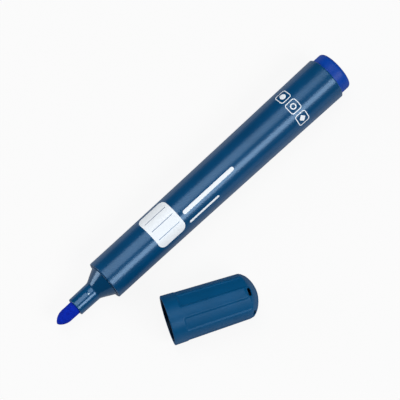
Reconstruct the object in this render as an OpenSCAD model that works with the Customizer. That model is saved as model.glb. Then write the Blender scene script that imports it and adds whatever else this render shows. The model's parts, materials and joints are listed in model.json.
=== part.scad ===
// Whiteboard marker lying on a table, with its cap taken off and lying beside it.
// The marker points along X: nib towards -X, end plug towards +X.
// The origin is the centre of the barrel's front end, where the cap's seat starts.
// The marker is drawn upright, front end at zero and nib below it, and is then laid down.
// The cap is drawn upright too, from its mouth at zero up to its crown.

/* [Barrel] */
// Length of the barrel
barrel_l = 105.7; // [98:0.1:125]
// Diameter of the straight front stretch, which the cap slips over
seat_d = 15; // [14:0.1:16]
// Length of that straight stretch
seat_l = 10; // [9:0.5:30]
// Diameter of the barrel at its rear rim
rim_d = 16.65; // [16.2:0.05:20]
// How late the flare gathers, where 1 is a straight cone
flare_power = 1.4; // [1:0.1:2]
// Wall at the front end, which shows as a ledge round the shoulder
front_wall = 1.4; // [1.1:0.05:1.6]
// Wall at the rear rim
rim_wall = 1.3; // [1:0.05:1.5]
// Rounding of the rear rim
rim_round = 0.3; // [0.1:0.05:0.6]
// Number of lands inside the barrel that centre the reservoir
land_count = 6; // [3:1:8]
// Thickness of each land
land_t = 1; // [0.8:0.1:1.6]
// Distance from the lands' ends to the pieces pressed in at both ends
land_back = 1; // [0.5:0.1:3]

/* [Nib holder] */
// Depth of the holder's sleeve inside the barrel
sleeve_l = 8; // [6:0.5:12]
// Wall of that sleeve
sleeve_wall = 1.2; // [0.8:0.1:1.5]
// Wall of the tube round the nib's tail
tube_wall = 1.1; // [0.8:0.1:1.4]
// Length of the straight step in front of the barrel
step_l = 0.2; // [0.05:0.05:1.5]
// Depth of the air chamber's floor inside the sleeve
chamber_z = 0.6; // [0.4:0.1:1.5]
// Slope of the shoulder, measured from the axis
shoulder_deg = 28; // [22:1:40]
// Radius of the hollow curve between shoulder and nose
neck_round = 2.5; // [1.5:0.1:4]
// Diameter of the nose where it leaves the shoulder
nose_d = 6.84; // [6.4:0.02:7.6]
// Diameter of the nose at its front edge
nose_tip_d = 6.66; // [6.2:0.02:7.2]
// Distance from the barrel's front end to the nose's front edge
nose_reach = 13.65; // [11.5:0.05:16]
// Bevel on the nose's front edge
nose_bevel = 0.25; // [0.1:0.05:0.5]

/* [Nib] */
// Diameter of the nib
nib_d = 4.92; // [4:0.02:5.4]
// Length of the nib in front of the nose
nib_out = 8.4; // [6.5:0.1:8.6]
// Length of its rounded tip
nib_tip_l = 4.55; // [3:0.05:6]
// Fullness of that tip, where 1 is an ellipse and more is slimmer
nib_power = 1.36; // [1:0.02:1.6]
// Depth of the full diameter inside the nose
nib_grip = 6; // [4:0.5:7]
// Diameter of the tail that draws the ink
tail_d = 3.2; // [2.4:0.1:3.6]
// Depth of the tail inside the reservoir
tail_dip = 12; // [6:0.5:20]

/* [Reservoir] */
// Diameter of the fibre core
core_d = 10.8; // [9:0.1:11]
// Length of the fibre core
core_l = 80; // [60:1:84]
// Thickness of the film round the core
film_t = 0.2; // [0.15:0.05:0.3]

/* [End plug] */
// Height of the plug behind the rear rim
plug_h = 4.7; // [3:0.1:8]
// Rounding of the plug's outer edge
plug_round = 1.2; // [0.4:0.1:1.5]
// Wall of the plug
plug_wall = 1.3; // [1:0.1:1.6]
// Depth of its skirt inside the barrel
skirt_l = 10; // [6:0.5:14]
// Width of the crossed plates that stop the reservoir
stop_w = 9; // [6:0.5:10]
// Thickness of those plates
stop_t = 1.2; // [0.8:0.1:2]

/* [Cap] */
// Length of the cap
cap_l = 32.2; // [32:0.05:36]
// Diameter of the cap at its mouth
mouth_d = 17.6; // [17.4:0.1:19]
// Diameter of the cap where the crown starts
crown_d = 16.3; // [16:0.1:17]
// Height of the rounded crown
crown_h = 5; // [4.5:0.05:6]
// Fullness of the crown, where 2 is an ellipse
crown_power = 1.78; // [1.6:0.02:2.4]
// Wall of the cap behind its bore and round the crown
crown_wall = 1.1; // [0.9:0.05:1.2]
// Wall at the middle of the crown, flat on its inside
top_wall = 1.45; // [1.3:0.05:1.6]
// Width of the ledge that stops the cap on the barrel's front end
ledge_w = 0.6; // [0.4:0.05:0.7]
// Length of the cap's bore, which covers the barrel's seat
overlap = 7.2; // [6:0.1:7.3]
// Bevel on both edges of the mouth
mouth_bevel = 0.25; // [0.1:0.05:0.4]

/* [Flutes and vents] */
// Number of flutes round the cap
flute_count = 6; // [4:1:8]
// Width of a flute, as an angle
flute_deg = 31.5; // [20:0.5:36]
// Depth of a flute
flute_depth = 0.4; // [0.2:0.05:0.45]
// Length of the plain collar in front of the flutes
collar_l = 4.7; // [3:0.1:8]
// Length of the slope at the collar's edge
collar_slope = 0.7; // [0.2:0.1:2]
// Number of vents through the crown
vent_count = 5; // [2:1:6]
// Distance from the start of the crown to a vent's middle
vent_up = 1.7; // [1.4:0.05:2.2]
// Width of a vent
vent_w = 1.1; // [0.8:0.1:1.3]
// Length of a vent round the crown, with its round ends
vent_l = 2.9; // [2:0.1:4]

/* [Liner] */
// Wall of the liner
liner_wall = 0.9; // [0.6:0.1:1.1]
// Wall of the liner's closed end
liner_end = 0.5; // [0.4:0.05:0.6]
// Radial room between nib and liner
nib_room = 0.6; // [0.4:0.1:0.8]
// Thickness of the fins that hold the liner
fin_t = 0.9; // [0.6:0.1:1.4]
// Distance from the liner's mouth to the fins
fin_front = 0.5; // [0.2:0.1:2]
// Distance from the fins' inner ends to the start of the crown
fin_back = 1; // [0.5:0.1:3]

/* [Clearances] */
// Radial clearance of pressed pieces
press_gap = 0.03; // [0.01:0.01:0.05]
// Radial clearance between cap and barrel
cap_gap = 0.05; // [0.02:0.01:0.1]
// End clearance where pieces stop against each other
stop_gap = 0.02; // [0.01:0.01:0.1]
// Clearance between the liner and the marker's steps when the cap is on
liner_room = 0.4; // [0.2:0.05:0.6]

/* [Where the cap lies] */
// Mouth's centre behind the barrel's front end
cap_x = 5.8; // [0:0.05:60]
// Mouth's centre beside the marker's axis
cap_y = -25.25; // [-60:0.05:-22]
// Turn of the cap's axis from the marker's
cap_turn = -24.95; // [-60:0.05:0]
// Roll of the cap about its own axis
cap_roll = 4.5; // [-180:0.5:180]

/* [Hidden] */
$fn = 96;
through = 1;       // how far a cut runs past the face it opens
flare_steps = 9;   // straight pieces along the flare
curve_steps = 8;   // straight pieces along a small curve

// Barrel
seat_r = seat_d / 2;
rim_r = rim_d / 2;
socket_r = seat_r - front_wall;
skirt_room = skirt_l + land_back;
core_r = core_d / 2;
film_r = core_r + press_gap + film_t;
lie_deg = atan((rim_r - seat_r) / barrel_l);
table_z = -seat_r * cos(lie_deg);

// Nib holder and nib
sleeve_r = socket_r - press_gap;
nose_r = nose_d / 2;
nose_tip_r = nose_tip_d / 2;
corner_z = -step_l - (sleeve_r - nose_r) / tan(shoulder_deg);
tangent_l = neck_round * tan(shoulder_deg / 2);
neck_z = corner_z - tangent_l;
nib_r = nib_d / 2;
tail_r = tail_d / 2;
nib_back = -nose_reach + nib_grip;

// End plug
skirt_r = rim_r - rim_wall - press_gap;
plug_r = seat_r;
core_end = sleeve_l + stop_gap + core_l;

// Cap and liner, measured from the mouth
mouth_r = mouth_d / 2;
crown_r = crown_d / 2;
crown_u = cap_l - crown_h;
bore_r = seat_r + cap_gap;
inside_r = crown_r - crown_wall;
inside_top = cap_l - top_wall;
grip_r = nose_r + press_gap;
liner_r = grip_r + liner_wall;
liner_mouth = overlap - neck_z + liner_room;
liner_step = overlap + nose_reach + liner_room;
liner_top = inside_top - stop_gap;
nib_dome_u = overlap + nose_reach + nib_out - nib_tip_l;
cap_lean = atan((mouth_r - crown_r) / crown_u);

// Radius of the barrel, and of its bore, at a distance behind the front end
function barrel_r(z) = seat_r + (rim_r - seat_r) * pow(max(0, z - seat_l) / (barrel_l - seat_l), flare_power);
function bore_at(z) = barrel_r(z) - front_wall - (rim_wall - front_wall) * z / barrel_l;

// Radius of the cap's cone at a distance from its mouth
function cap_r(u) = mouth_r + (crown_r - mouth_r) * u / crown_u;

// Points of a crown of a given radius and height, up to a share of that height
function crown_points(r, h, share) = [
    for (i = [0:curve_steps * 2])
        let (x = share * sin(90 * i / (curve_steps * 2)))
        [r * pow(1 - pow(x, crown_power), 1 / crown_power), crown_u + h * x]
];

// Laid on the table: the marker on its front edge and rear rim
module lie_marker() {
    rotate([0, 90 - lie_deg, 0]) children();
}

// Laid on the table: the cap on its side, beside the marker
module lie_cap() {
    translate([cap_x, cap_y, table_z + mouth_r * cos(cap_lean)])
        rotate([0, 0, cap_turn])
            rotate([0, 90 + cap_lean, 0])
                rotate([0, 0, 180 + cap_roll])
                    children();
}

module barrel_outside() {
    flare = [for (i = [1:flare_steps])
        let (z = seat_l + (barrel_l - seat_l) * i / flare_steps)
        [barrel_r(z), i == flare_steps ? z - rim_round : z]];
    rim = [for (i = [1:curve_steps])
        let (a = 90 * i / curve_steps)
        [rim_r - rim_round * (1 - cos(a)), barrel_l - rim_round * (1 - sin(a))]];
    rotate_extrude()
        polygon(concat([[0, 0], [seat_r, 0], [seat_r, seat_l]], flare, rim, [[0, barrel_l]]));
}

module barrel_bore() {
    step_z = barrel_l - skirt_room;
    drafted = [for (i = [0:flare_steps])
        let (z = seat_l + (step_z - seat_l) * i / flare_steps)
        [i == 0 ? socket_r : bore_at(z), z]];
    rear_r = skirt_r + press_gap;
    rotate_extrude()
        polygon(concat(
            [[0, -through], [socket_r, -through]],
            drafted,
            [[rear_r, step_z], [rear_r, barrel_l + through], [0, barrel_l + through]]
        ));
}

// Lands that run along the bore and centre the reservoir
module lands() {
    first = sleeve_l + land_back;
    last = barrel_l - skirt_room;
    difference() {
        for (i = [0:land_count - 1])
            rotate([0, 0, i * 360 / land_count])
                translate([0, -land_t / 2, first])
                    cube([rim_r, land_t, last - first]);
        translate([0, 0, first - through])
            cylinder(r = film_r + press_gap, h = last - first + 2 * through);
    }
}

module barrel() {
    color([0.03, 0.26, 0.43]) lie_marker()
        difference() {
            barrel_outside();
            difference() {
                barrel_bore();
                lands();
            }
        }
}

// Sleeve, step, shoulder, neck and nose in one turned outline
module holder_outside() {
    neck = [for (i = [0:curve_steps])
        let (a = shoulder_deg * (1 - i / curve_steps))
        [nose_r + neck_round * (1 - cos(a)), neck_z + neck_round * sin(a)]];
    rotate_extrude()
        polygon(concat(
            [[0, sleeve_l], [sleeve_r, sleeve_l], [sleeve_r, -step_l]],
            neck,
            [[nose_tip_r, -nose_reach + nose_bevel], [nose_tip_r - nose_bevel, -nose_reach], [0, -nose_reach]]
        ));
}

// Ring-shaped air chamber between the sleeve and the tube round the tail
module air_chamber() {
    tube_r = tail_r + press_gap + tube_wall;
    outer_r = sleeve_r - sleeve_wall;
    rotate_extrude()
        polygon([[tube_r, chamber_z], [outer_r, chamber_z], [outer_r, sleeve_l + through], [tube_r, sleeve_l + through]]);
}

module nib_holder() {
    color([0.03, 0.25, 0.42]) lie_marker()
        difference() {
            holder_outside();
            air_chamber();
            translate([0, 0, -nose_reach - through])
                cylinder(r = nib_r + press_gap, h = nib_grip + through + stop_gap);
            translate([0, 0, -nose_reach])
                cylinder(r = tail_r + press_gap, h = nose_reach + sleeve_l + through);
        }
}

module nib() {
    tip_z = -nose_reach - nib_out;
    dome = [for (i = [0:curve_steps])
        let (a = 90 * i / curve_steps)
        [nib_r * pow(sin(a), nib_power), tip_z + nib_tip_l * (1 - cos(a))]];
    color([0.10, 0.20, 0.72]) lie_marker()
        rotate_extrude()
            polygon(concat(dome, [[nib_r, nib_back], [tail_r, nib_back],
                [tail_r, sleeve_l + tail_dip], [0, sleeve_l + tail_dip]]));
}

module ink_reservoir() {
    color([0.12, 0.22, 0.62]) lie_marker()
        translate([0, 0, sleeve_l + stop_gap])
            difference() {
                cylinder(r = core_r, h = core_l);
                translate([0, 0, -through])
                    cylinder(r = tail_r + press_gap, h = tail_dip + through);
            }
}

module reservoir_film() {
    color([0.85, 0.88, 0.92]) lie_marker()
        translate([0, 0, sleeve_l + stop_gap])
            difference() {
                cylinder(r = film_r, h = core_l);
                translate([0, 0, -through])
                    cylinder(r = core_r + press_gap, h = core_l + 2 * through);
            }
}

// Head with a rounded edge, and the skirt that is pressed into the barrel
module plug_body() {
    edge = [for (i = [0:curve_steps])
        let (a = 90 * i / curve_steps)
        [plug_r - plug_round * (1 - cos(a)), plug_h - plug_round * (1 - sin(a))]];
    hollow_r = skirt_r - plug_wall;
    hollow_top = plug_h - plug_wall;
    rotate_extrude()
        polygon(concat(
            [[hollow_r, -skirt_l], [skirt_r, -skirt_l], [skirt_r, 0], [plug_r, 0]],
            edge,
            [[0, plug_h], [0, hollow_top], [hollow_r, hollow_top]]
        ));
}

module end_plug() {
    stop_z = core_end + stop_gap;
    stop_l = barrel_l + plug_h - plug_wall / 2 - stop_z;
    color([0.11, 0.27, 0.75]) lie_marker()
        union() {
            translate([0, 0, barrel_l]) plug_body();
            for (turn = [0, 90])
                rotate([0, 0, turn])
                    translate([-stop_w / 2, -stop_t / 2, stop_z])
                        cube([stop_w, stop_t, stop_l]);
        }
}

module cap_outside() {
    rotate_extrude()
        polygon(concat(
            [[0, 0], [mouth_r - mouth_bevel, 0], [cap_r(mouth_bevel), mouth_bevel]],
            crown_points(crown_r, crown_h, 1),
            [[0, cap_l]]
        ));
}

// One flute: a slope behind the collar, and a floor along the cone that runs out over the crown
module flute() {
    slope_end = collar_l + collar_slope;
    clear_u = crown_u + crown_h / 2;
    clear_r = mouth_r + through;
    rotate([0, 0, -flute_deg / 2])
        rotate_extrude(angle = flute_deg)
            polygon([
                [clear_r, collar_l], [cap_r(collar_l), collar_l], [cap_r(slope_end) - flute_depth, slope_end],
                [cap_r(clear_u) - flute_depth, clear_u], [clear_r, clear_u]
            ]);
}

module cap_cavity() {
    top_share = (inside_top - crown_u) / (crown_h - crown_wall);
    rotate_extrude()
        polygon(concat(
            [[0, -through], [bore_r + mouth_bevel, -through], [bore_r + mouth_bevel, 0],
                [bore_r, mouth_bevel], [bore_r, overlap], [bore_r - ledge_w, overlap]],
            crown_points(inside_r, crown_h - crown_wall, top_share),
            [[0, inside_top]]
        ));
}

// Fins between the cap's wall and the liner, which leave the vents' air paths open
module fins() {
    first = liner_mouth + fin_front;
    for (i = [0:vent_count - 1])
        rotate([0, 0, (i + 0.5) * 360 / vent_count])
            translate([liner_r + press_gap, -fin_t / 2, first])
                cube([mouth_r, fin_t, crown_u - fin_back - first]);
}

// One vent: a slot with round ends, cut through the crown towards the axis
module vent() {
    side = (vent_l - vent_w) / 2;
    first = liner_r + liner_room;
    deep = mouth_r - first;
    translate([first, 0, crown_u + vent_up]) {
        translate([0, -side, -vent_w / 2]) cube([deep, 2 * side, vent_w]);
        for (end = [-side, side])
            translate([0, end, 0]) rotate([0, 90, 0]) cylinder(r = vent_w / 2, h = deep);
    }
}

module cap_shell() {
    color([0.06, 0.32, 0.47]) lie_cap()
        difference() {
            cap_outside();
            difference() {
                cap_cavity();
                fins();
            }
            for (i = [0:flute_count - 1])
                rotate([0, 0, (i + 0.5) * 360 / flute_count]) flute();
            for (i = [0:vent_count - 1])
                rotate([0, 0, i * 360 / vent_count]) vent();
        }
}

// Cup that grips the nose and seals the nib when the cap is on
module cap_liner() {
    nib_cup_r = nib_r + nib_room;
    cup_end = liner_top - liner_end;
    end_r = nib_cup_r / 2;
    color([0.04, 0.09, 0.14]) lie_cap()
        rotate_extrude()
            polygon([
                [grip_r, liner_mouth], [grip_r, liner_step], [nib_cup_r, liner_step],
                [nib_cup_r, nib_dome_u], [end_r, cup_end], [0, cup_end], [0, liner_top],
                [end_r + liner_wall, liner_top], [nib_cup_r + liner_wall, nib_dome_u],
                [nib_cup_r + liner_wall, liner_step], [liner_r, liner_step - liner_wall], [liner_r, liner_mouth]
            ]);
}

barrel();
nib_holder();
nib();
ink_reservoir();
reservoir_film();
end_plug();
cap_shell();
cap_liner();
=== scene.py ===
"""Whiteboard marker on a table with its cap off: finished pieces, looks, light and view."""

import json
from math import acos, atan2, cos, exp, hypot, pi, radians, sin, tan, tau

import bmesh
import bpy
from mathutils import Matrix, Vector, noise


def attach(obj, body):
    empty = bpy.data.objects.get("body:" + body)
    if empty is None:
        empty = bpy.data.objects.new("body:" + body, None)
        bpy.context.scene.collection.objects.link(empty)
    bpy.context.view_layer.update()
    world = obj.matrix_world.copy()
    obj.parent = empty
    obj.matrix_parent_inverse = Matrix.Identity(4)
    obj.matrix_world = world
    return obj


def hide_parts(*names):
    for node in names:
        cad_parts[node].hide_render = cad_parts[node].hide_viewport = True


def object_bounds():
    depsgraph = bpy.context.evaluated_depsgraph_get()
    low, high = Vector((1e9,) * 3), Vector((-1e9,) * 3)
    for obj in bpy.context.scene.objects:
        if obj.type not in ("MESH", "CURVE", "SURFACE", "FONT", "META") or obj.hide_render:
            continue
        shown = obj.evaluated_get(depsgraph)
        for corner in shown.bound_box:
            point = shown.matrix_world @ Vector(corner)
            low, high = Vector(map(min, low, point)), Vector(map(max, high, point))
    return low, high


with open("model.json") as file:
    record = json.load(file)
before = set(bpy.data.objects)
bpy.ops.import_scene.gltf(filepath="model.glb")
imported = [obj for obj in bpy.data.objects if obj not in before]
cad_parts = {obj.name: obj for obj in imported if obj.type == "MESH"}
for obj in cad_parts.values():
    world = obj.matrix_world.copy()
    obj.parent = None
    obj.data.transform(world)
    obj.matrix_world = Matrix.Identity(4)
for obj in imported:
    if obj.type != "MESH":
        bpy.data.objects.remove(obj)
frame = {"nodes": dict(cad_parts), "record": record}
CAD_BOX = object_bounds()

bl_info = {
    "name": "Whiteboard Marker",
    "version": (1, 0, 0),
    "blender": (4, 5, 0),
    "location": "View3D > Sidebar > Marker",
    "description": "Builds a whiteboard marker with a bullet nib and its fluted, vented cap",
    "category": "Add Mesh",
}

MM = 0.001
MOUNTS = {mount["name"]: mount for mount in frame["record"]["mounts"]}
RADII = {name: MOUNTS[name]["dims"]["r_mm"] for name in ("cap_seat", "cap_mouth", "liner_socket")}


# ---- sizes and colours


def length(label, text, millimetres):
    """A length that a user can change, given in millimetres and kept in metres."""
    return bpy.props.FloatProperty(
        name=label, description=text, default=millimetres * MM, min=0.0,
        precision=5, unit="LENGTH", subtype="DISTANCE",
    )


def turn(label, text, degrees):
    """An angle that a user can change."""
    return bpy.props.FloatProperty(
        name=label, description=text, default=radians(degrees),
        unit="ROTATION", subtype="ANGLE",
    )


def amount(label, text, value, most=1.0):
    """A plain number that a user can change."""
    return bpy.props.FloatProperty(name=label, description=text, default=value, min=0.0, max=most)


def count(label, text, number):
    """A whole number that a user can change."""
    return bpy.props.IntProperty(name=label, description=text, default=number, min=3, max=512)


def shade(level):
    """One display level from 0 to 255 as linear light."""
    level /= 255
    return level / 12.92 if level <= 0.04045 else ((level + 0.055) / 1.055) ** 2.4


def colour(label, text, red, green, blue):
    """A colour that a user can change, given in display levels from 0 to 255."""
    return bpy.props.FloatVectorProperty(
        name=label, description=text, subtype="COLOR", size=4, min=0.0, max=1.0,
        default=(shade(red), shade(green), shade(blue), 1.0),
    )


class BarrelSizes(bpy.types.PropertyGroup):
    """Sizes of the barrel, the reservoir's lands and the end plug."""

    length: length("Length", "Length of the barrel", 105.7)
    seat_radius: length("Seat radius", "Radius of the straight front", RADII["cap_seat"])
    seat_length: length("Seat length", "Length of the straight front", 10)
    rim_radius: length("Rim radius", "Radius at the rear rim", 8.325)
    flare_power: amount("Flare power", "How late the flare gathers", 1.4, 3.0)
    front_wall: length("Front wall", "Wall at the front end", 1.4)
    rim_wall: length("Rim wall", "Wall at the rear rim", 1.3)
    rim_round: length("Rim rounding", "Rounding of the rear rim", 0.3)
    edge_round: length("Edge rounding", "Rounding of the front edge", 0.2)
    land_count: count("Lands", "Lands that centre the reservoir", 6)
    land_thickness: length("Land thickness", "Thickness of each land", 1)
    land_radius: length("Land radius", "Radius of the lands' inner faces", 5.66)
    plug_height: length("Plug height", "Height of the plug behind the rim", 4.7)
    plug_round: length("Plug rounding", "Rounding of the plug's outer edge", 1.2)
    plug_wall: length("Plug wall", "Wall of the end plug", 1.3)
    skirt_length: length("Skirt length", "Depth of the skirt in the barrel", 10)
    stop_width: length("Stop width", "Width of the stop plates", 9)
    stop_thickness: length("Stop thickness", "Thickness of the stop plates", 1.2)
    stop_depth: length("Stop depth", "Place of the plates' front ends", 88.04)
    gate_radius: length("Gate mark radius", "Radius of the plug's gate mark", 1.1)
    gate_depth: length("Gate mark depth", "Depth of that mark", 0.12)


class HolderSizes(bpy.types.PropertyGroup):
    """Sizes of the nib holder and the nib."""

    sleeve_length: length("Sleeve length", "Depth of the sleeve in the barrel", 8)
    sleeve_wall: length("Sleeve wall", "Wall of the sleeve", 1.2)
    tube_wall: length("Tube wall", "Wall round the nib's tail", 1.1)
    step_length: length("Step length", "Straight step in front of the barrel", 0.2)
    chamber_start: length("Chamber start", "Depth of the air chamber's floor", 0.6)
    shoulder: turn("Shoulder", "Slope of the shoulder from the axis", 28)
    neck_round: length("Neck rounding", "Hollow curve behind the nose", 2.5)
    nose_radius: length("Nose radius", "Radius of the nose behind", 3.42)
    nose_tip_radius: length("Nose tip radius", "Radius at the nose's front edge", 3.33)
    nose_reach: length("Nose reach", "From the barrel to the nose's front edge", 13.65)
    nose_bevel: length("Nose bevel", "Rounding of the nose's front edge", 0.25)
    mark_reach: length("Mark reach", "From the barrel to the nose's gate mark", 7.55)
    mark_turn: turn("Mark turn", "Place of that mark round the nose", 6.7)
    mark_radius: length("Mark radius", "Radius of that mark", 0.3)
    mark_height: length("Mark height", "Height of that mark", 0.12)
    nib_radius: length("Nib radius", "Radius of the nib", 2.46)
    nib_reach: length("Nib reach", "Length in front of the nose", 8.4)
    nib_tip: length("Nib tip", "Length of the nib's rounded tip", 4.55)
    nib_power: amount("Nib fullness", "1 is an ellipse and more is slimmer", 1.36, 2.0)
    nib_grip: length("Nib grip", "Depth of its full width in the nose", 6)
    nib_pits: length("Nib pits", "Depth of the felt's pits", 0.05)
    tail_radius: length("Tail radius", "Radius of the nib's tail", 1.6)
    tail_dip: length("Tail dip", "Depth of the tail in the reservoir", 12)


class CapSizes(bpy.types.PropertyGroup):
    """Sizes of the cap and of the liner inside it."""

    length: length("Length", "Length of the cap", 32.2)
    mouth_radius: length("Mouth radius", "Outer radius at the mouth", 8.8)
    crown_radius: length("Crown radius", "Radius where the crown starts", 8.15)
    crown_height: length("Crown height", "Height of the rounded crown", 5)
    crown_power: amount("Crown power", "2 is an ellipse and less is slimmer", 1.78, 4.0)
    crown_wall: length("Crown wall", "Wall round the crown", 1.1)
    top_wall: length("Top wall", "Wall at the middle of the crown", 1.45)
    bore_radius: length("Bore radius", "Radius of the bore", RADII["cap_mouth"])
    overlap: length("Overlap", "Length of the bore", 7.2)
    ledge: length("Ledge", "Width of the ledge behind the bore", 0.6)
    mouth_bevel: length("Mouth bevel", "Rounding of the mouth's edges", 0.25)
    roll: turn("Roll", "Roll about the cap's own axis", 4.5)
    flute_count: count("Flutes", "Number of flutes", 6)
    flute_width: turn("Flute width", "Width of a flute", 32.2)
    flute_depth: length("Flute depth", "Depth of a flute", 0.45)
    flute_flatness: amount("Flute flatness", "0 follows the cap's round, 1 is flat", 0.6)
    flute_edge: turn("Flute edge", "Width of a flute's soft edge", 5)
    collar: length("Collar", "Length of the plain collar", 4.7)
    collar_slope: length("Collar slope", "Length of the collar's slope", 0.7)
    vent_count: count("Vents", "Number of vents", 5)
    vent_up: length("Vent place", "From the crown's start to a vent's middle", 1.7)
    vent_width: length("Vent width", "Width of a vent", 1.1)
    vent_length: length("Vent length", "Length of a vent", 2.9)
    vent_dip: length("Vent dip", "Depth of a vent's rounded edge", 0.16)
    vent_lip: length("Vent lip", "Width of a vent's rounded edge", 0.4)
    liner_wall: length("Liner wall", "Wall of the liner", 0.9)
    liner_end: length("Liner end", "Wall of the liner's closed end", 0.5)
    liner_grip: length("Liner grip", "Radius of its socket for the nose", RADII["liner_socket"])
    liner_cup: length("Liner cup", "Radius of the liner round the nib", 3.06)
    liner_mouth: length("Liner mouth", "From the cap's mouth to the liner's mouth", 13.407)
    liner_step: length("Liner step", "From the cap's mouth to the liner's step", 21.25)
    cup_bend: length("Cup bend", "From the cap's mouth to the liner's bend", 24.7)
    fin_thickness: length("Fin thickness", "Thickness of the liner's fins", 0.9)
    fin_front: length("Fin front", "From the liner's mouth to the fins", 0.5)
    fin_back: length("Fin back", "From the fins to the crown's start", 1)


class PrintSizes(bpy.types.PropertyGroup):
    """Sizes of the plain white print on the barrel."""

    panel_start: length("Panel start", "Front end of the panel", 21.0)
    panel_end: length("Panel end", "Rear end of the panel", 32.9)
    panel_low: length("Panel low", "Panel's half on the cap's side", 7.7)
    panel_high: length("Panel high", "Panel's half on the far side", 7.3)
    panel_corner: length("Panel corner", "Corner radius of the panel", 2.4)
    rule_gap: length("Rule gap", "Distance between the panel's rules", 3.7)
    rule_width: length("Rule width", "Width of a rule", 0.22)
    stripe_start: length("Stripe start", "Front end of both stripes", 34.6)
    long_end: length("Long stripe end", "Rear end of the long stripe", 58.2)
    long_place: length("Long stripe place", "Its distance from the top", 2.7)
    long_width: length("Long stripe width", "Width of the long stripe", 1.5)
    short_end: length("Short stripe end", "Rear end of the short stripe", 48.3)
    short_place: length("Short stripe place", "Its distance from the top", 6.9)
    short_width: length("Short stripe width", "Width of the short stripe", 0.8)
    frame_middle: length("Frame middle", "Place of the frames along the barrel", 88.25)
    frame_place: length("Frame place", "Middle frame's distance from the top", 1.1)
    frame_step: length("Frame step", "Distance between the frames", 5.45)
    frame_length: length("Frame length", "Size of a frame along the barrel", 4.7)
    frame_height: length("Frame height", "Size of a frame round the barrel", 4.5)
    frame_corner: length("Frame corner", "Corner radius of a frame", 1.0)
    frame_line: length("Frame line", "Width of a frame's line", 0.32)
    sign_radius: length("Sign radius", "Size of the dot, ring and square", 1.15)


class Colours(bpy.types.PropertyGroup):
    """Colours of the finishes."""

    barrel: colour("Barrel", "Navy plastic of barrel and nib holder", 0, 64, 107)
    cap: colour("Cap", "Navy plastic of the cap", 0, 71, 115)
    # painted shade: this near-black navy stands in for the deep shade inside the cap
    inside: colour("Cap inside", "Cap plastic in deep shade", 1, 19, 39)
    nib: colour("Nib", "Ink-soaked felt", 0, 43, 180)
    # painted shade: the felt's colour in the low parts of its relief
    nib_dark: colour("Nib shade", "Felt in its pits", 0, 20, 130)
    plug: colour("Plug", "Royal blue plastic", 0, 61, 157)
    ink: colour("Print", "White printing ink", 236, 241, 246)
    fibre: colour("Fibre", "Ink-soaked fibre core", 22, 38, 120)
    film: colour("Film", "Film round the core", 214, 222, 232)
    # painted shade: the liner is a real part, but its near-black tone copies the deep shade
    # inside the cap
    liner: colour("Liner", "Dark soft plastic", 2, 12, 24)
    floor: colour("Floor", "Pale table top", 205, 205, 205)


# ---- shader maths


def arithmetic(operation, swapped=False):
    """An operator of a Value, which adds a Math node."""
    def apply(self, *other):
        return self.finish.math(operation, *((*other, self) if swapped else (self, *other)))
    return apply


class Value:
    """A number that a node gives. Arithmetic on it adds Math nodes to the same finish."""

    def __init__(self, finish, socket):
        self.finish, self.socket = finish, socket

    __add__ = __radd__ = arithmetic("ADD")
    __mul__ = __rmul__ = arithmetic("MULTIPLY")
    __sub__, __rsub__ = arithmetic("SUBTRACT"), arithmetic("SUBTRACT", swapped=True)
    __truediv__, __pow__ = arithmetic("DIVIDE"), arithmetic("POWER")
    __abs__ = arithmetic("ABSOLUTE")


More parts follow.
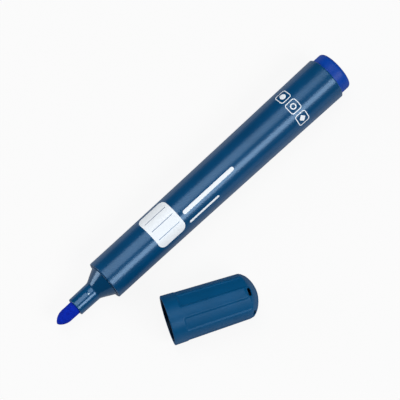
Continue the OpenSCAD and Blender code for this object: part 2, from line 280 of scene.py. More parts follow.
class Finish:
    """A material made of nodes, with a Principled shader on its surface."""

    def __init__(self, name, **constants):
        self.material = bpy.data.materials.new(name)
        self.material.use_nodes = True
        self.nodes, self.links = self.material.node_tree.nodes, self.material.node_tree.links
        self.nodes.clear()
        shader = self.node("ShaderNodeBsdfPrincipled")
        self.shader = shader.socket.node
        self.set(**constants)
        output = self.node("ShaderNodeOutputMaterial", inputs={"Surface": shader}, out=None)
        self.surface = output.inputs["Surface"]

    def node(self, kind, settings=None, inputs=None, out=0):
        """Adds a node: its settings first, then the values or links of its sockets."""
        made = self.nodes.new(kind)
        for name, setting in (settings or {}).items():
            setattr(made, name, setting)
        for key, value in (inputs or {}).items():
            self.feed(made.inputs[key], value)
        return made if out is None else Value(self, made.outputs[out])

    def feed(self, socket, value):
        """Links a Value to a socket, or sets the socket's own number."""
        if isinstance(value, Value):
            self.links.new(value.socket, socket)
        else:
            socket.default_value = value

    def set(self, **inputs):
        """Feeds the Principled shader's sockets, named with _ for a space."""
        for key, value in inputs.items():
            self.feed(self.shader.inputs[key.replace("_", " ")], value)

    def math(self, operation, *values):
        return self.node("ShaderNodeMath", {"operation": operation}, dict(enumerate(values)))

    def most(self, *values):
        return self.math("MAXIMUM", *values)

    def arm(self, first, second):
        """Length of the arm that two parts of a place make."""
        return self.math("SQRT", first * first + second * second)

    def rise(self, value, start, slope):
        """0 up to a start and then rising by a slope, up to 1."""
        return self.node("ShaderNodeClamp", inputs={"Value": (value - start) * slope})

    def mix(self, factor, first, second):
        """A colour between two colours."""
        return self.node(
            "ShaderNodeMix", {"data_type": "RGBA"}, {0: factor, 6: first, 7: second}, out=2
        )

    def local(self, place):
        """Place along a piece's own axes, in millimetres: a vector, then its three parts."""
        back = place.inverted()
        objects = self.node("ShaderNodeTexCoord", out="Object")
        vector = self.node("ShaderNodeMapping", inputs={
            "Vector": objects, "Location": back.to_translation() / MM,
            "Rotation": back.to_euler(), "Scale": (1 / MM,) * 3,
        })
        split = self.node("ShaderNodeSeparateXYZ", inputs={"Vector": vector}).socket.node
        return vector, [Value(self, out) for out in split.outputs]

    def speckle(self, vector, scale, detail=3.0, rough=0.5, stretch=None):
        """Noise from 0 to 1, with its grain drawn out along an axis where stretch says so."""
        if stretch:
            vector = self.node("ShaderNodeMapping", inputs={"Vector": vector, "Scale": stretch})
        return self.node("ShaderNodeTexNoise", inputs={
            "Vector": vector, "Scale": scale, "Detail": detail, "Roughness": rough,
        })

    def bump(self, height, depth):
        """Relief of a depth in metres, from a height between 0 and 1."""
        self.set(Normal=self.node("ShaderNodeBump", inputs={"Height": height, "Distance": depth}))


INK_EDGE = 0.05  # width of the print's soft edge, in mm


def box_distance(finish, point, middle, size, corner):
    """Distance from a rounded box's edge, less than zero inside it."""
    over = [abs(value - at) - (full / 2 - corner) for value, at, full in zip(point, middle, size)]
    outside = finish.arm(*(finish.most(value, 0.0) for value in over))
    return outside + finish.math("MINIMUM", finish.most(*over), 0.0) - corner


def inked(finish, distance):
    """Cover of the ink: 1 inside the edge, 0 outside it."""
    return finish.rise(distance, start=INK_EDGE / 2, slope=-1 / INK_EDGE)


def inked_box(finish, point, middle, size, corner):
    return inked(finish, box_distance(finish, point, middle, size, corner))


# ---- mesh helpers

TURN_STEPS = 192  # faces round a turned piece
CORNER_LEAD = 1.6  # where the sides of a rounded corner are split, in its reaches
WELD = 1e-7  # points nearer than this become one
INWARD = -0.5  # lean of a normal that looks at the axis
SHARP = 38  # degrees past which an edge stays sharp


def rounded(corners, closed, steps):
    """An outline's (radius, height) points. A corner's third number is its rounding."""
    outline, last = [], len(corners) - 1
    for index, corner in enumerate(corners):
        here = Vector(corner[:2])
        if len(corner) == 2 or (not closed and index in (0, last)):
            outline.append(here)
            continue
        back = (Vector(corners[index - 1][:2]) - here).normalized()
        on = (Vector(corners[(index + 1) % len(corners)][:2]) - here).normalized()
        half = back.angle(on) / 2
        reach, size = corner[2] / tan(half), corner[2] / sin(half)
        middle = here + (back + on).normalized() * size
        start = (here + back * reach - middle).normalized()
        end = (here + on * reach - middle).normalized()
        outline.append(here + back * reach * CORNER_LEAD)
        outline += [middle + start.slerp(end, step / steps) * corner[2]
                    for step in range(steps + 1)]
        outline.append(here + on * reach * CORNER_LEAD)
    return outline


def turned(corners, closed=True, steps=TURN_STEPS, bend=5):
    """A mesh turned about the local Z axis from an outline's corners."""
    bm = bmesh.new()
    outline = rounded(corners, closed, bend)
    points = [bm.verts.new((radius, 0, height)) for radius, height in outline]
    pairs = list(zip(points, points[1:])) + ([(points[-1], points[0])] if closed else [])
    edges = [bm.edges.new(pair) for pair in pairs]
    bmesh.ops.spin(
        bm, geom=points + edges, cent=(0, 0, 0), axis=(0, 0, 1),
        angle=tau, steps=steps, use_merge=True,
    )
    bmesh.ops.remove_doubles(bm, verts=bm.verts, dist=WELD)
    bmesh.ops.recalc_face_normals(bm, faces=bm.faces)
    return bm


def round_place(point):
    """Radius, turn and height of a point about the local Z axis."""
    return hypot(point.x, point.y), atan2(point.y, point.x), point.z


def off_ridge(angle, number, start=0.0):
    """Angle from the nearest of a number of evenly spaced ridges."""
    step = tau / number
    return abs((angle - start + step / 2) % step - step / 2)


def extruded(bm, geom, **options):
    """Extrudes faces and gives the vertices that this makes."""
    grown = bmesh.ops.extrude_face_region(bm, geom=geom, **options)["geom"]
    return [item for item in grown if isinstance(item, bmesh.types.BMVert)]


def raise_ridges(bm, number, start, thickness, low, high, inner):
    """Pulls strips of an inner wall inwards, as lands or fins."""
    picked = []
    for face in bm.faces:
        radius, angle, height = round_place(face.calc_center_median())
        lean = face.normal.x * cos(angle) + face.normal.y * sin(angle)
        near = off_ridge(angle, number, start) * radius < thickness / 2
        if lean < INWARD and near and low < height < high:
            picked.append(face)
    edges = {edge for face in picked for edge in face.edges}
    for vert in extruded(bm, picked + list(edges)):
        vert.co.xy *= inner / vert.co.xy.length


def spaced(start, end, parts):
    """Numbers from just behind start up to end, in equal steps."""
    return [start + (end - start) * step / parts for step in range(1, parts + 1)]


def smoothed(value, low, high):
    """0 below low, 1 above high, and a soft rise between them."""
    share = min(1.0, max(0.0, (value - low) / (high - low)))
    return share * share * (3 - 2 * share)


def lying(mount, back=0.0):
    """Place of a piece that is drawn upright: its height along a mount's axis, turned round."""
    axis = -Vector(mount["axis"])
    tilt = Matrix.Rotation(acos(axis.z), 4, "Y")
    return Matrix.Translation(Vector(mount["pos_m"]) - axis * back) @ Matrix.Rotation(
        atan2(axis.y, axis.x), 4, "Z") @ tilt


def marker_place():
    return lying(MOUNTS["cap_seat"])


def cap_place(cap):
    return lying(MOUNTS["cap_mouth"], cap.overlap / 2) @ Matrix.Rotation(pi + cap.roll, 4, "Z")


def placed(name, data):
    """An object in the scene that holds a mesh, a lamp or a view."""
    made = bpy.data.objects.new(name, data)
    bpy.context.scene.collection.objects.link(made)
    return made


def solid(name, bm):
    """An object made of a bmesh, which is used up."""
    mesh = bpy.data.meshes.new(name)
    bm.to_mesh(mesh)
    bm.free()
    return placed(name, mesh)


def finished(bm, name, place, finish, body, node, sharp=SHARP):
    """Puts a mesh in its place as a piece that rides on a body and stands for a CAD node."""
    bmesh.ops.transform(bm, matrix=place, verts=bm.verts)
    piece = solid(name, bm)
    piece.data.materials.append(finish.material)
    smooth(piece, sharp)
    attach(piece, body)
    if node:
        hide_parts(node)
    return piece


def smooth(piece, sharp=SHARP):
    """Shades a piece smooth, with its sharp edges kept."""
    mesh = piece.data
    mesh.polygons.foreach_set("use_smooth", [True] * len(mesh.polygons))
    mesh.set_sharp_from_angle(angle=radians(sharp))


# ---- finishes

SHEEN = (0.5, 0.74, 1.0, 1.0)  # blue of the gloss on the navy plastic
EDGE_HAZE = 1.8  # how much rougher plastic is edge-on
EDGE_POWER = 3.0  # how late that gathers
MICRON = 0.001 * MM
RULE_MARGIN = 1.2  # from the panel's ends to its rules, in mm
RING_WEIGHT = 1.3  # line of the ring, in lines of a frame
SQUARE_REACH = 1.15  # corner of the square, in radii of the dot
INK_ROUGHNESS, INK_HEIGHT = 0.46, 0.9
NECK_PLACE = -5.5  # mm along the marker, behind which the holder's shoulder has painted shade
# share of the colour that stays under the shoulder's painted shade
NECK_PAINTED_SHADE = 0.72
PAINTED_GLINT_SPREAD, PAINTED_GLINT_COVER = 1.15, 0.75  # radius and strength of the painted glint on the nose's gate mark
# pale colour of that painted glint
PAINTED_GLINT_TONE = (0.62, 0.78, 0.84, 1.0)
PAINTED_SHADE_MARGIN = 0.06  # mm past the bore that get the painted shade inside the cap


def plastic(name, tone, place, roughness, grain, **constants):
    """Moulded plastic: faint clouding, a fine skin and a few hair scratches along the axis."""
    finish = Finish(name, **constants)
    vector, parts = finish.local(place)
    cloud = finish.speckle(vector, scale=0.12)
    skin = finish.speckle(vector, grain, rough=0.6)
    hair = finish.speckle(vector, scale=1.6, detail=4.0, rough=0.7, stretch=(1.0, 1.0, 0.06))
    clouded = finish.rise(cloud, start=0.1875, slope=1.6)
    base = finish.mix(clouded, tinted(tone, 0.88), tinted(tone, 1.1))
    scratch = finish.rise(hair, start=0.62, slope=8.0)
    edge_on = finish.node("ShaderNodeLayerWeight", inputs={"Blend": 0.5}, out="Facing")
    haze = edge_on ** EDGE_POWER * (EDGE_HAZE * roughness)
    rough = (skin - 0.5) * 0.02 + scratch * 0.03 + haze + roughness
    return finish, parts, base, rough, skin + scratch * 0.15


def tinted(tone, share):
    """A colour made darker or lighter."""
    return tuple(min(1.0, channel * share) for channel in tone[:3]) + (1.0,)


def dressed(finish, base, rough, height, depth):
    """Feeds a finish's colour, roughness and relief, and gives the finish back."""
    finish.set(Base_Color=base, Roughness=rough)
    finish.bump(height, depth)
    return finish


def from_nearest(finish, value, step):
    """Distance from the nearest of three places a step apart, and which of them it is."""
    which = finish.math("MINIMUM", finish.math("ROUND", value / step), 1.0)
    which = finish.most(which, -1.0)
    return value - which * step, which


def print_cover(finish, parts, sizes):
    """Cover of the white print: a ruled write-on panel, two stripes and three framed signs."""
    x, y, along = parts
    s = {name: getattr(sizes, name) / MM for name in sizes.__annotations__}
    across = finish.math("ARCTAN2", y, x * -1.0) * finish.arm(x, y)

    middle = (s["panel_start"] + s["panel_end"]) / 2
    lift = (s["panel_high"] - s["panel_low"]) / 2
    long, tall = s["panel_end"] - s["panel_start"], s["panel_high"] + s["panel_low"]
    panel = inked_box(finish, (along, across), (middle, lift), (long, tall), s["panel_corner"])
    off_rule, _ = from_nearest(finish, across - lift, s["rule_gap"])
    rule = (long - 2 * RULE_MARGIN, s["rule_width"])
    rules = inked_box(finish, (along, off_rule), (middle, 0.0), rule, s["rule_width"] / 2)
    cover = panel * (1 - rules)

    for kind in ("long", "short"):
        end, place, width = s[kind + "_end"], s[kind + "_place"], s[kind + "_width"]
        middle = ((s["stripe_start"] + end) / 2, -place)
        stripe = (end - s["stripe_start"], width)
        cover = finish.most(cover, inked_box(finish, (along, across), middle, stripe, width / 2))

    ahead = along - s["frame_middle"]
    beside, which = from_nearest(finish, across + s["frame_place"], s["frame_step"])
    size = (s["frame_length"], s["frame_height"])
    edge = box_distance(finish, (ahead, beside), (0.0, 0.0), size, s["frame_corner"])
    line = s["frame_line"] / 2
    cover = finish.most(cover, inked(finish, abs(edge + line) - line))
    disc = finish.arm(ahead, beside) - s["sign_radius"]
    ring = abs(disc + line * RING_WEIGHT) - line * RING_WEIGHT
    square = abs(ahead) + abs(beside) - s["sign_radius"] * SQUARE_REACH
    for number, sign in ((1.0, disc), (0.0, ring), (-1.0, square)):
        shown = inked(finish, sign) * finish.math("COMPARE", which, number, 0.5)
        cover = finish.most(cover, shown)
    return cover


def barrel_finish(colours, prints):
    finish, parts, base, rough, height = plastic(
        "Barrel plastic", colours.barrel, marker_place(), roughness=0.24, grain=2.2,
        Specular_Tint=SHEEN)
    cover = print_cover(finish, parts, prints)
    base = finish.mix(cover, base, tuple(colours.ink))
    rough = rough * (1 - cover) + cover * INK_ROUGHNESS
    return dressed(finish, base, rough, height + cover * INK_HEIGHT, 5 * MICRON)


def holder_finish(colours, holder):
    """Glossier navy plastic, with a painted glint on the nose's gate mark and painted shade on
    the shoulder.
    """
    finish, (x, y, along), base, rough, height = plastic(
        "Holder plastic", colours.barrel, marker_place(), roughness=0.19, grain=2.2,
        Specular_IOR_Level=0.56, Specular_Tint=SHEEN)
    # painted highlight: the gate mark's bump is real, and the pale spot on it is a painted glint
    off = along + holder.mark_reach / MM
    beside = y + holder.nose_radius / MM * sin(holder.mark_turn)
    near = finish.arm(off, beside) / (holder.mark_radius / MM)
    mark = finish.rise(near, start=PAINTED_GLINT_SPREAD, slope=-2.0) * finish.math("LESS_THAN", x, 0.0)
    # painted shade: the shoulder behind the neck is darkened in its colour
    behind = finish.math("GREATER_THAN", along, NECK_PLACE)
    base = finish.mix(behind, base, tinted(colours.barrel, NECK_PAINTED_SHADE))
    base = finish.mix(mark * PAINTED_GLINT_COVER, base, PAINTED_GLINT_TONE)
    return dressed(finish, base, rough, height, MICRON)


def felt_finish(name, bright, dark, stretch, relief):
    """Pressed, ink-soaked fibre, with painted shade in its pits and random blotches of tone."""
    finish = Finish(name, Specular_IOR_Level=0.1)
    vector, _ = finish.local(marker_place())
    fibres = finish.speckle(vector, scale=3.4, detail=4.0, rough=0.65, stretch=stretch)
    blotch = finish.speckle(vector, scale=0.9)
    # painted shade in the pits: the colour darkens where the fibres' relief is low, mixed with
    # random blotches
    share = finish.rise(fibres * 0.65 + blotch * 0.5, start=0.32, slope=2.4)
    base = finish.mix(share, tuple(dark), tuple(bright))
    return dressed(finish, base, 0.9 - fibres * 0.2, fibres, relief)


def cap_finish(colours, cap):
    """Duller navy plastic, with painted shade on its inside."""
    finish, (x, y, along), base, rough, height = plastic(
        "Cap plastic", colours.cap, cap_place(cap), roughness=0.37, grain=4.5,
        Specular_IOR_Level=0.24, Specular_Tint=SHEEN)
    edge = cap.bore_radius / MM + PAINTED_SHADE_MARGIN
    # painted shade: the bore and the walls behind it, up to the crown, take the dark inside
    # colour
    inside = finish.math("LESS_THAN", finish.arm(x, y), edge)
    inside *= finish.math("LESS_THAN", along, crown_start(cap) / MM)
    base = finish.mix(inside, base, tuple(colours.inside))
    return dressed(finish, base, rough, height, 10 * MICRON)


def plain_finish(name, tone, place, depth, **look):
    """Moulded plastic with nothing on it."""
    finish, _, base, rough, height = plastic(name, tone, place, **look)
    return dressed(finish, base, rough, height, depth)


def film_finish(colours):
    """Thin film with faint wrinkles along the core, and painted shade in their hollows."""
    finish = Finish("Core film")
    vector, _ = finish.local(marker_place())
    wrinkle = finish.speckle(vector, scale=0.8, rough=0.6, stretch=(1.0, 1.0, 0.1))
    # painted shade: the film darkens where its wrinkles are low
    base = finish.mix(wrinkle, tinted(colours.film, 0.85), tuple(colours.film))
    return dressed(finish, base, wrinkle * 0.2 + 0.15, wrinkle, 30 * MICRON)


# ---- the marker's pieces

GAP = 0.03 * MM  # between pressed pieces
LAND_BACK = 1 * MM  # from the sleeve and the skirt to the lands
SMALL_ROUND = 0.08 * MM
FLARE_ROWS, BORE_ROWS, NECK_ROWS, NOSE_ROWS = 44, 30, 12, 54
TIP_ROWS, NIB_ROWS = 36, 48
FINE_PITS, BROAD_PITS = 900, 320  # pits of the felt per metre
GATE_FLOOR = 0.8  # radius of the gate mark's floor, as a share


def barrel_radius(barrel, height):
    share = max(0.0, height - barrel.seat_length) / (barrel.length - barrel.seat_length)
    flare = (barrel.rim_radius - barrel.seat_radius) * share ** barrel.flare_power
    return barrel.seat_radius + flare


def bore_radius(barrel, height):
    wall = barrel.front_wall + (barrel.rim_wall - barrel.front_wall) * height / barrel.length
    return barrel_radius(barrel, height) - wall


def build_barrel(barrel, holder, colours, prints):
    socket = barrel.seat_radius - barrel.front_wall
    land_start = holder.sleeve_length + LAND_BACK
    step = barrel.length - barrel.skirt_length - LAND_BACK
    rear = barrel.rim_radius - barrel.rim_wall
    flare = spaced(barrel.seat_length, barrel.length - barrel.rim_round * 3, FLARE_ROWS)
    bore = spaced(barrel.seat_length, step, BORE_ROWS)
    bm = turned(
        [(socket, 0), (barrel.seat_radius, 0, barrel.edge_round),
         (barrel.seat_radius, barrel.seat_length)]
        + [(barrel_radius(barrel, height), height) for height in flare]
        + [(barrel.rim_radius, barrel.length, barrel.rim_round),
           (rear, barrel.length, SMALL_ROUND), (rear, step)]
        + [(bore_radius(barrel, height), height) for height in reversed(bore)]
        + [(socket, barrel.seat_length), (socket, land_start)])
    raise_ridges(bm, barrel.land_count, 0.0, barrel.land_thickness, land_start, step,
                 barrel.land_radius)
    finished(bm, "marker_barrel", marker_place(), barrel_finish(colours, prints),
             "marker", "barrel")


def build_nib_holder(barrel, holder, colours):
    sleeve = barrel.seat_radius - barrel.front_wall - GAP
    tail = holder.tail_radius + GAP
    tube = tail + holder.tube_wall
    chamber = sleeve - holder.sleeve_wall
    nib_bore = holder.nib_radius + GAP
    slope = tan(holder.shoulder)
    corner = -holder.step_length - (sleeve - holder.nose_radius) / slope
    neck = corner - holder.neck_round * tan(holder.shoulder / 2)
    curve = [holder.shoulder * (1 - step / NECK_ROWS) for step in range(NECK_ROWS + 1)]
    tip = -holder.nose_reach
    draft = (holder.nose_tip_radius - holder.nose_radius) / (tip - neck)
    nose = spaced(neck, tip + holder.nose_bevel * 2, NOSE_ROWS)
    deep = tip + holder.nib_grip
    bm = turned(
        [(sleeve, holder.sleeve_length, SMALL_ROUND), (sleeve, -holder.step_length, SMALL_ROUND)]
        + [(holder.nose_radius + holder.neck_round * (1 - cos(angle)),
            neck + holder.neck_round * sin(angle)) for angle in curve]
        + [(holder.nose_radius + draft * (height - neck), height) for height in nose]
        + [(holder.nose_tip_radius, tip, holder.nose_bevel), (nib_bore, tip, SMALL_ROUND),
           (nib_bore, deep), (tail, deep), (tail, holder.sleeve_length),
           (tube, holder.sleeve_length), (tube, holder.chamber_start),
           (chamber, holder.chamber_start), (chamber, holder.sleeve_length)])
    for vert in bm.verts:
        radius, angle, height = round_place(vert.co)
        if radius > holder.nose_tip_radius - holder.nose_bevel and height < neck:
            across = (pi - holder.mark_turn - angle % tau) * radius
            near = hypot(height + holder.mark_reach, across) / holder.mark_radius
            grown = 1 + holder.mark_height * exp(-near * near) / radius
            vert.co.xy *= grown
    finished(bm, "marker_nib_holder", marker_place(), holder_finish(colours, holder),
             "marker", "nib_holder")


def pit_share(place):
    """Depth of the felt's pits at a place, from 0 to 1."""
    fine = noise.noise(place * FINE_PITS + Vector((3.1, 7.7, 1.9)))
    broad = noise.noise(place * BROAD_PITS + Vector((9.2, 0.4, 5.5)))
    return min(1.0, max(0.0, 0.5 + 0.5 * fine + 0.45 * broad))


def build_nib(holder, colours):
    front = -holder.nose_reach - holder.nib_reach
    inside = -holder.nose_reach + holder.nib_grip
    end = holder.sleeve_length + holder.tail_dip
    tip = [pi / 2 * step / TIP_ROWS for step in range(TIP_ROWS + 1)]
    stem = spaced(front + holder.nib_tip, inside - SMALL_ROUND * 3, NIB_ROWS)
    bm = turned(
        [(holder.nib_radius * sin(angle) ** holder.nib_power,
          front + holder.nib_tip * (1 - cos(angle))) for angle in tip]
        + [(holder.nib_radius, height) for height in stem]
        + [(holder.nib_radius, inside, SMALL_ROUND), (holder.tail_radius, inside),
           (holder.tail_radius, end, SMALL_ROUND), (0, end)],
        closed=False)
    bm.normal_update()
    for vert in bm.verts:
        if vert.co.z < -holder.nose_reach:
            vert.co -= vert.normal * holder.nib_pits * pit_share(vert.co)
    finish = felt_finish("Nib felt", colours.nib, colours.nib_dark, (1.0, 1.0, 0.4), 60 * MICRON)
    finished(bm, "marker_nib", marker_place(), finish, "marker", "nib", sharp=60)


def build_end_plug(barrel, colours):
    skirt = barrel.rim_radius - barrel.rim_wall - GAP
    hollow = skirt - barrel.plug_wall
    back = barrel.length
    top = back + barrel.plug_height
    head, mark_floor = barrel.seat_radius, top - barrel.gate_depth
    bm = turned(
        [(0, top - barrel.plug_wall), (hollow, top - barrel.plug_wall),
         (hollow, back - barrel.skirt_length), (skirt, back - barrel.skirt_length, SMALL_ROUND),
         (skirt, back), (head, back, SMALL_ROUND), (head, top, barrel.plug_round),
         (barrel.gate_radius, top, SMALL_ROUND),
         (barrel.gate_radius * GATE_FLOOR, mark_floor, SMALL_ROUND), (0, mark_floor)],
        closed=False, bend=8)
    finish = plain_finish("Plug plastic", colours.plug, marker_place(), 5 * MICRON,
                          roughness=0.38, grain=1.6, Specular_IOR_Level=0.16)
    finished(bm, "marker_end_plug", marker_place(), finish, "marker", "end_plug")
    wide, thin = barrel.stop_width / 2, barrel.stop_thickness / 2
    bm = bmesh.new()
    corners = [(wide, -thin), (wide, thin), (thin, thin)]
    for _ in range(9):
        corners.append((-corners[-3][1], corners[-3][0]))
    cross = bm.faces.new([bm.verts.new((x, y, barrel.stop_depth)) for x, y in corners])
    grown = extruded(bm, [cross], use_keep_orig=True)
    rise = top - barrel.plug_wall - barrel.stop_depth
    bmesh.ops.translate(bm, vec=(0, 0, rise), verts=grown)
    bmesh.ops.recalc_face_normals(bm, faces=bm.faces)
    finished(bm, "marker_plug_stop", marker_place(), finish, "marker", None)


# ---- the cap's pieces

CAP_STEPS = 360  # faces round the cap, for its flutes
SLOPE_LEAD, SLOPE_TAIL = 0.4 * MM, 0.3 * MM  # fine rows before and behind the collar's slope
FLUTE_ROWS, SLOPE_ROWS, COLLAR_ROWS, CROWN_ROWS, INSIDE_ROWS = 26, 12, 4, 44, 14
SLOPE_EASE = 0.1  # run-out of the collar's slope, as a share
SKIN = 0.02 * MM  # how near a point counts as on the outside
DIP_LEAN = 0.7  # share of a vent's dip that goes in, and down
VENT_ROOT = 0.6  # start of a vent's cutter, in crown radii
VENT_BEND = 12  # parts of a vent's round end
LINER_GAP = 0.02 * MM  # from the liner's closed end to the crown


def crown_start(cap):
    return cap.length - cap.crown_height


def cone_radius(cap, height):
    taper = (cap.crown_radius - cap.mouth_radius) / crown_start(cap)
    return cap.mouth_radius + taper * height


def crown_share(cap, share):
    """Radius of the crown at a share of its height, as a share of its full radius."""
    return max(0.0, 1 - share ** cap.crown_power) ** (1 / cap.crown_power)


def crown_points(cap, radius, tall, most, parts):
    """Points over a crown, from its start up to a share of its height."""
    shares = [most * sin(pi / 2 * step / parts) for step in range(parts + 1)]
    return [(radius * crown_share(cap, share), crown_start(cap) + tall * share)
            for share in shares]


def outside_at(cap, height):
    """Radius of the cap's outside at a height, before its flutes and vents."""
    share = (height - crown_start(cap)) / cap.crown_height
    return cone_radius(cap, height) if share <= 0 else cap.crown_radius * crown_share(cap, share)


def from_vent(cap, radius, angle, height):
    """Distance from the edge of the nearest vent, less than zero inside it."""
    across = radius * sin(off_ridge(angle, cap.vent_count))
    beyond = max(0.0, across - (cap.vent_length - cap.vent_width) / 2)
    return hypot(beyond, height - vent_height(cap)) - cap.vent_width / 2


def vent_height(cap):
    return crown_start(cap) + cap.vent_up


def shape_outside(bm, cap):
    """Sinks the flutes into the cap's outside and rounds the edges of its vents."""
    soft = cap.flute_edge / 2
    flute_start = pi / cap.flute_count
    ease = cap.collar_slope * SLOPE_EASE
    slope = cap.collar - ease, cap.collar + cap.collar_slope + ease
    for vert in bm.verts:
        radius, angle, height = round_place(vert.co)
        if radius < 1 * MM or abs(radius - outside_at(cap, height)) > SKIN:
            continue
        side = off_ridge(angle, cap.flute_count, flute_start)
        cover = 1 - smoothed(side, cap.flute_width / 2 - soft, cap.flute_width / 2 + soft)
        cover *= smoothed(height, *slope)
        floor = cone_radius(cap, height) - cap.flute_depth
        floor /= cos(side) ** cap.flute_flatness
        shrink = 1 - cover * max(0.0, radius - floor) / radius
        dip = 0.0
        if height > crown_start(cap):
            near = 1 - min(1.0, max(0.0, from_vent(cap, radius, angle, height)) / cap.vent_lip)
            dip = DIP_LEAN * cap.vent_dip * near * near
        vert.co.xy *= shrink - dip / radius
        vert.co.z -= dip


def vent_cutter(cap, place):
    """Slots with round ends that run towards the axis, one for each vent."""
    bm = bmesh.new()
    start, width = cap.crown_radius * VENT_ROOT, cap.vent_width / 2
    side = cap.vent_length / 2 - width
    bends = [pi * step / VENT_BEND for step in range(VENT_BEND + 1)]
    rim = [(start, (side + width * sin(bend)) * end,
            vent_height(cap) + width * cos(bend) * end) for end in (1, -1) for bend in bends]
    next_vent = Matrix.Rotation(tau / cap.vent_count, 3, "Z")
    for _ in range(cap.vent_count):
        face = bm.faces.new([bm.verts.new(point) for point in rim])
        grown = extruded(bm, [face], use_keep_orig=True)
        bmesh.ops.translate(bm, vec=(cap.mouth_radius - start, 0, 0), verts=grown)
        bmesh.ops.rotate(bm, cent=(0, 0, 0), matrix=next_vent, verts=bm.verts)
    bmesh.ops.recalc_face_normals(bm, faces=bm.faces)
    bmesh.ops.transform(bm, matrix=place, verts=bm.verts)
    return solid("vent_cutter", bm)


def cut(piece, cutter):
    """Takes the cutter's shape out of a piece for good."""
    knife = piece.modifiers.new("Vents", "BOOLEAN")
    knife.operation, knife.solver, knife.object = "DIFFERENCE", "EXACT", cutter
    graph = bpy.context.evaluated_depsgraph_get()
    mesh = bpy.data.meshes.new_from_object(piece.evaluated_get(graph), depsgraph=graph)
    piece.modifiers.clear()
    piece.data = mesh
    bpy.data.objects.remove(cutter)


def build_cap(cap, colours):
    place = cap_place(cap)
    start = crown_start(cap)
    slope_start = cap.collar - SLOPE_LEAD
    slope_end = cap.collar + cap.collar_slope + SLOPE_TAIL
    rows = (spaced(slope_end, start, FLUTE_ROWS)[:-1][::-1]
            + spaced(slope_end, slope_start, SLOPE_ROWS)
            + spaced(slope_start, cap.mouth_bevel * 2, COLLAR_ROWS))
    inner = cap.crown_radius - cap.crown_wall
    inner_height = cap.crown_height - cap.crown_wall
    top = cap.length - cap.top_wall
    behind = cap.bore_radius - cap.ledge
    fin_start, fin_end = cap.liner_mouth + cap.fin_front, start - cap.fin_back

    def wall_at(height):
        return behind + (inner - behind) * (height - cap.overlap) / (start - cap.overlap)

    bm = turned(
        crown_points(cap, cap.crown_radius, cap.crown_height, 1.0, CROWN_ROWS)[::-1]
        + [(cone_radius(cap, height), height) for height in rows]
        + [(cap.mouth_radius, 0, cap.mouth_bevel), (cap.bore_radius, 0, cap.mouth_bevel),
           (cap.bore_radius, cap.overlap), (behind, cap.overlap),
           (wall_at(fin_start), fin_start), (wall_at(fin_end), fin_end)]
        + crown_points(cap, inner, inner_height, (top - start) / inner_height, INSIDE_ROWS)
        + [(0, top)],
        closed=False, steps=CAP_STEPS)
    shape_outside(bm, cap)
    raise_ridges(bm, cap.vent_count, pi / cap.vent_count, cap.fin_thickness,
                 fin_start, fin_end, cap.liner_grip + cap.liner_wall + GAP)
    piece = finished(bm, "cap_body", place, cap_finish(colours, cap),
                     "cap", "cap_shell")
    cut(piece, vent_cutter(cap, place))
    smooth(piece)


def build_cap_liner(cap, colours):
    closed_end = cap.length - cap.top_wall - LINER_GAP
    cup_end = closed_end - cap.liner_end
    middle = cap.liner_cup / 2
    grip, cup = cap.liner_grip + cap.liner_wall, cap.liner_cup + cap.liner_wall
    bm = turned(
        [(0, cup_end), (middle, cup_end), (cap.liner_cup, cap.cup_bend),
         (cap.liner_cup, cap.liner_step), (cap.liner_grip, cap.liner_step),
         (cap.liner_grip, cap.liner_mouth, SMALL_ROUND), (grip, cap.liner_mouth, SMALL_ROUND),
         (grip, cap.liner_step - cap.liner_wall), (cup, cap.liner_step), (cup, cap.cup_bend),
         (middle + cap.liner_wall, closed_end, SMALL_ROUND), (0, closed_end)],
        closed=False)
    # the liner's near-black colour is painted shade
    finish = plain_finish("Liner plastic", colours.liner, cap_place(cap), 10 * MICRON,
                          roughness=0.42, grain=3.0)
    finished(bm, "cap_inner_cup", cap_place(cap), finish, "cap", "cap_liner")


# ---- floor, light and view

SENSOR_WIDTH, VIEW_AIM, LAMP_AIM = 36.0, (43.347, -1.624, 0), (30, -10, 0)  # in mm
LAMPS = (  # name, direction, width and depth in metres, brightness
    ("top_panel", (0.05, 0.21, 0.977), 0.75, 1.35, 4.3),
    ("side_panel", (0.13, -0.68, 0.71), 0.95, 0.7, 9.0),
    ("left_panel", (-0.6, 0.74, 0.3), 0.55, 0.95, 7.0),
)
FLOOR_HALF, FLOOR_BELOW = 3.0, 0.01 * MM  # in metres
FLOOR_TO_VIEW, FLOOR_TO_GLOSS = 0.9, 0.25  # share of white that each sees


class StageSettings(bpy.types.PropertyGroup):
    """The floor, the lamps and the view."""

    azimuth: turn("Azimuth", "Turn of the view round the marker", -43.36)
    elevation: turn("Elevation", "Height of the view above the horizon", 74.617)
    distance: length("Distance", "Distance of the view from its aim", 789.3)
    lens: length("Lens", "Focal length on a 36 mm wide sensor", 205.52)
    ambient: amount("Ambient", "Strength of the light all round", 0.08, 4.0)
    lamp_distance: length("Lamp distance", "Distance of the soft panels", 1500)


def soft_panel(name, direction, wide, deep, strength, reach):
    """An oval soft lamp of a given brightness, with its wide side along the marker."""
    lamp = bpy.data.lights.new(name, "AREA")
    lamp.shape, lamp.size, lamp.size_y = "ELLIPSE", wide, deep
    lamp.energy = strength * pi * (pi / 4 * wide * deep)
    towards = Vector(direction).normalized()
    along = (Vector((1, 0, 0)) - towards * towards.x).normalized()
    turn_to = Matrix((along, towards.cross(along), towards)).transposed()
    place = Matrix.Translation(Vector(LAMP_AIM) * MM + towards * reach)
    placed(name, lamp).matrix_world = place @ turn_to.to_4x4()


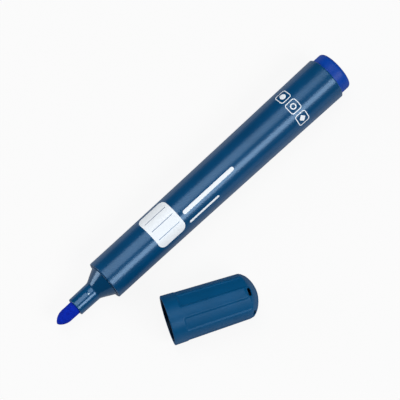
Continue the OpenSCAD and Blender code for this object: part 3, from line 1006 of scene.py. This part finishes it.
def pale_finish(tone):
    """A pale surface that keeps shadows and shows almost white to the view and in gloss."""
    finish = Finish("Pale floor", Base_Color=tuple(tone), Roughness=0.9, Specular_IOR_Level=0.1)
    view = finish.node("ShaderNodeLightPath", out="Is Camera Ray")
    ray = view.socket.node.outputs
    mirrored = finish.most(Value(finish, ray["Is Glossy Ray"]),
                           Value(finish, ray["Is Transmission Ray"]))
    seen = finish.most(view * FLOOR_TO_VIEW, mirrored * FLOOR_TO_GLOSS)
    glow = finish.node("ShaderNodeEmission", inputs={"Color": (1, 1, 1, 1), "Strength": 1.0})
    finish.feed(finish.surface, finish.node("ShaderNodeMixShader", inputs={
        0: seen, 1: Value(finish, finish.shader.outputs[0]), 2: glow}))
    return finish


def build_stage(settings, colours):
    bm = bmesh.new()
    bmesh.ops.create_grid(bm, x_segments=8, y_segments=8, size=FLOOR_HALF)
    bmesh.ops.translate(bm, vec=(0, 0, CAD_BOX[0].z - FLOOR_BELOW), verts=bm.verts)
    floor = solid("floor", bm)
    floor.data.materials.append(pale_finish(colours.floor).material)
    for lamp in LAMPS:
        soft_panel(*lamp, settings.lamp_distance)

    scene = bpy.context.scene
    scene.world = world = bpy.data.worlds.new("Studio")
    world.use_nodes = True
    nodes = world.node_tree.nodes
    surround = next(node for node in nodes if node.bl_idname == "ShaderNodeBackground")
    surround.inputs["Color"].default_value = (1, 1, 1, 1)
    surround.inputs["Strength"].default_value = settings.ambient

    swing, rise = settings.azimuth, settings.elevation
    back = Vector((sin(swing) * cos(rise), -cos(swing) * cos(rise), sin(rise)))
    camera = placed("view", bpy.data.cameras.new("view"))
    camera.data.sensor_width, camera.data.lens = SENSOR_WIDTH, settings.lens / MM
    camera.location = Vector(VIEW_AIM) * MM + back * settings.distance
    camera.rotation_mode = "QUATERNION"
    camera.rotation_quaternion = (-back).to_track_quat("-Z", "Y")
    scene.camera = camera
    scene.view_settings.view_transform = "Standard"


# ---- operators and panel


class AddBarrel(bpy.types.Operator):
    """Adds the flared barrel with its plain print"""

    bl_idname = "whiteboard_marker.add_barrel"
    bl_label = "Add Barrel"

    def execute(self, context):
        scene = context.scene
        build_barrel(scene.marker_barrel, scene.marker_holder, scene.marker_colours,
                     scene.marker_print)
        return {"FINISHED"}


class AddNibHolder(bpy.types.Operator):
    """Adds the nib holder with its shoulder, neck and nose"""

    bl_idname = "whiteboard_marker.add_nib_holder"
    bl_label = "Add Nib Holder"

    def execute(self, context):
        scene = context.scene
        build_nib_holder(scene.marker_barrel, scene.marker_holder, scene.marker_colours)
        return {"FINISHED"}


class AddNib(bpy.types.Operator):
    """Adds the felt nib"""

    bl_idname = "whiteboard_marker.add_nib"
    bl_label = "Add Nib"

    def execute(self, context):
        build_nib(context.scene.marker_holder, context.scene.marker_colours)
        return {"FINISHED"}


class DressReservoir(bpy.types.Operator):
    """Gives the fibre core and its film their finishes"""

    bl_idname = "whiteboard_marker.dress_reservoir"
    bl_label = "Dress Reservoir"

    def execute(self, context):
        colours = context.scene.marker_colours
        core = felt_finish("Core fibre", colours.fibre, colours.nib_dark, (1.0, 1.0, 0.03),
                           50 * MICRON)
        for node, finish in (("ink_reservoir", core), ("reservoir_film", film_finish(colours))):
            materials = frame["nodes"][node].data.materials
            materials.clear()
            materials.append(finish.material)
        return {"FINISHED"}


class AddEndPlug(bpy.types.Operator):
    """Adds the end plug and the plates that stop the reservoir"""

    bl_idname = "whiteboard_marker.add_end_plug"
    bl_label = "Add End Plug"

    def execute(self, context):
        build_end_plug(context.scene.marker_barrel, context.scene.marker_colours)
        return {"FINISHED"}


class AddCap(bpy.types.Operator):
    """Adds the fluted cap with its vents"""

    bl_idname = "whiteboard_marker.add_cap"
    bl_label = "Add Cap"

    def execute(self, context):
        build_cap(context.scene.marker_cap, context.scene.marker_colours)
        return {"FINISHED"}


class AddCapLiner(bpy.types.Operator):
    """Adds the liner inside the cap"""

    bl_idname = "whiteboard_marker.add_cap_liner"
    bl_label = "Add Cap Liner"

    def execute(self, context):
        build_cap_liner(context.scene.marker_cap, context.scene.marker_colours)
        return {"FINISHED"}


class AddStage(bpy.types.Operator):
    """Adds the floor, the lamps and the view"""

    bl_idname = "whiteboard_marker.add_stage"
    bl_label = "Add Stage"

    def execute(self, context):
        build_stage(context.scene.marker_stage, context.scene.marker_colours)
        return {"FINISHED"}


GROUPS = {
    "marker_barrel": BarrelSizes,
    "marker_holder": HolderSizes,
    "marker_cap": CapSizes,
    "marker_print": PrintSizes,
    "marker_colours": Colours,
    "marker_stage": StageSettings,
}
OPERATORS = (AddBarrel, AddNibHolder, AddNib, DressReservoir, AddEndPlug, AddCap, AddCapLiner,
             AddStage)


class MarkerPanel(bpy.types.Panel):
    """Lists the marker's pieces, sizes and colours"""

    bl_idname = "VIEW3D_PT_whiteboard_marker"
    bl_label = "Whiteboard Marker"
    bl_space_type = "VIEW_3D"
    bl_region_type = "UI"
    bl_category = "Marker"

    def draw(self, context):
        for operator in OPERATORS:
            self.layout.operator(operator.bl_idname)
        for name, group in GROUPS.items():
            box = self.layout.box()
            box.label(text=group.__doc__)
            for setting in group.__annotations__:
                box.prop(getattr(context.scene, name), setting)


CLASSES = (*GROUPS.values(), *OPERATORS, MarkerPanel)


def register():
    for cls in CLASSES:
        bpy.utils.register_class(cls)
    for name, group in GROUPS.items():
        setattr(bpy.types.Scene, name, bpy.props.PointerProperty(type=group))


def unregister():
    for name in GROUPS:
        delattr(bpy.types.Scene, name)
    for cls in reversed(CLASSES):
        bpy.utils.unregister_class(cls)


def main():
    register()
    for operator in OPERATORS:
        module, name = operator.bl_idname.split(".")
        getattr(getattr(bpy.ops, module), name)()


if __name__ == "__main__":
    main()
